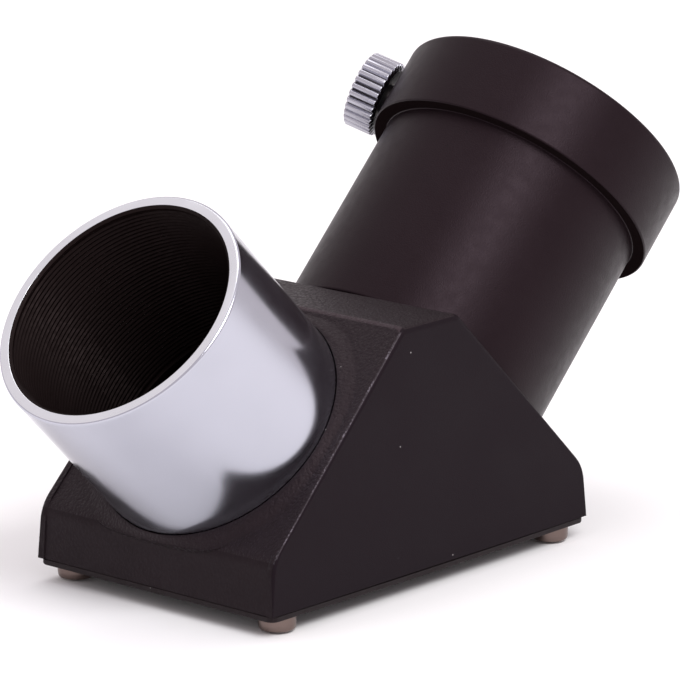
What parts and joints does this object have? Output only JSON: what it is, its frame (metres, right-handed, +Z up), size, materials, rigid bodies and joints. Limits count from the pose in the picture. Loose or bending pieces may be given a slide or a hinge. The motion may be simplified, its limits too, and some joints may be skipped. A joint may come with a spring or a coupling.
{
  "type": "star diagonal",
  "caption": "Right-angle star diagonal with a chromed nosepiece, a wedge-shaped prism housing and an eyepiece holder clamped by a fluted thumbscrew.",
  "frame": {"origin": "under the middle of the object's bounding box, on the surface that the four base screw heads stand on", "axes": "+Z up; +X towards the eyepiece holder, -X towards the nosepiece, both tilted up at 45 degrees; +Y to the side the thumbscrew stands out of"},
  "size_m": [0.101, 0.0416, 0.0597],
  "materials": {
    "housing_plastic": "black moulded plastic, leather grain on the slopes, fine matte sides",
    "plate_paint": "black painted sheet steel",
    "screw_steel": "nickel plated",
    "nose_chrome": "bright chrome outside, matt black threads inside",
    "holder_plastic": "satin black",
    "insert_brass": "turned",
    "stud_steel": "threaded",
    "knob_chrome": "satin chrome, fluted",
    "prism_glass": "polished optical glass",
    "pad_foam": "black foam rubber",
    "mask_card": "matt black card"
  },
  "bodies": {
    "diagonal": {"housing": "housing_plastic", "base_plate": "plate_paint", "base_screws": "screw_steel", "nosepiece": "nose_chrome", "eyepiece_holder": "holder_plastic", "thumbscrew_insert": "insert_brass", "prism": "prism_glass", "prism_pad": "pad_foam", "prism_side_pad_left": "pad_foam", "prism_side_pad_right": "pad_foam", "prism_mask_nose": "mask_card", "prism_mask_eyepiece": "mask_card"},
    "clamp_stud": {"thumbscrew_stud": "stud_steel"},
    "clamp_head": {"thumbscrew_knob": "knob_chrome"}
  },
  "joints": [
    {"name": "thumbscrew_travel", "type": "slide", "parent": "diagonal", "child": "clamp_stud", "axis": [-0.3428, 0.8746, 0.3428], "range_m": [-0.00032, 0.00175]},
    {"name": "thumbscrew_turn", "type": "hinge", "parent": "clamp_stud", "child": "clamp_head", "pos_m": [0.0264, 0.01657, 0.05001], "axis": [-0.3428, 0.8746, 0.3428], "range_deg": [-166, 902]}
  ],
  "couplings": [
    {"joint": "thumbscrew_turn", "follows": "thumbscrew_travel", "rad_per_m": 8976}
  ]
}
